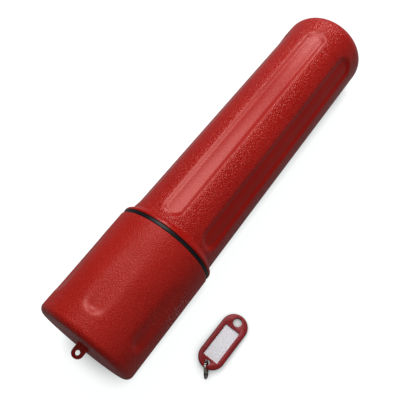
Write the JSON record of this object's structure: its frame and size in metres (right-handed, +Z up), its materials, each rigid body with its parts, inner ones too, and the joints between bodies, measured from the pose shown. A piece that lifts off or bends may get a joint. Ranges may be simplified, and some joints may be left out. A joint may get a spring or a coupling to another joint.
{
  "type": "welding electrode storage canister",
  "caption": "Fluted plastic storage canister with a rounded end, screw cap, black seal and hanging lug, lying beside its identification tag with label window and split ring",
  "frame": {"origin": "on the floor under the middle of the whole set, canister and tag together", "axes": "+X runs along the canister towards its rounded end, +Z is up from the floor, and the tag lies on the -Y side"},
  "size_m": [0.408, 0.1458, 0.0972],
  "materials": {
    "canister_plastic": "red moulded polyethylene with a fine pebbled grain and a soft sheen",
    "seal_rubber": "black, smooth, satin",
    "tag_plastic": "crimson, semi-gloss",
    "label_paper": "pale grey paper, matt",
    "clear_plastic": "clear, polished",
    "ring_steel": "nickel plated spring steel"
  },
  "bodies": {
    "canister": {"canister_body": "canister_plastic"},
    "seal": {"gasket": "seal_rubber"},
    "cap": {"cap": "canister_plastic"},
    "tag": {"tag_frame": "tag_plastic", "label_card": "label_paper"},
    "window": {"label_window": "clear_plastic"},
    "ring": {"split_ring": "ring_steel"}
  },
  "joints": [
    {"name": "cap_travel", "type": "slide", "parent": "canister", "child": "seal", "axis": [-0.9997, 0, 0.0235], "range_m": [0, 0.0301]},
    {"name": "cap_turn", "type": "hinge", "parent": "seal", "child": "cap", "pos_m": [-0.0863, 0.02544, 0.04749], "axis": [-0.9997, 0, 0.0235], "range_deg": [0, 1080]},
    {"name": "tag_lift", "type": "slide", "parent": "canister", "child": "tag", "axis": [0, 0, 1], "range_m": [0, 0.1]},
    {"name": "window_pop", "type": "slide", "parent": "tag", "child": "window", "axis": [0.0523, -0.0018, 0.9986], "range_m": [0, 0.01]},
    {"name": "ring_swing", "type": "hinge", "parent": "tag", "child": "ring", "pos_m": [-0.13991, -0.06113, 0.00439], "axis": [-0.5406, 0.8324, -0.1219], "range_deg": [-105, 10]}
  ],
  "couplings": [
    {"joint": "cap_travel", "follows": "cap_turn", "m_per_rad": 0.0015915}
  ]
}
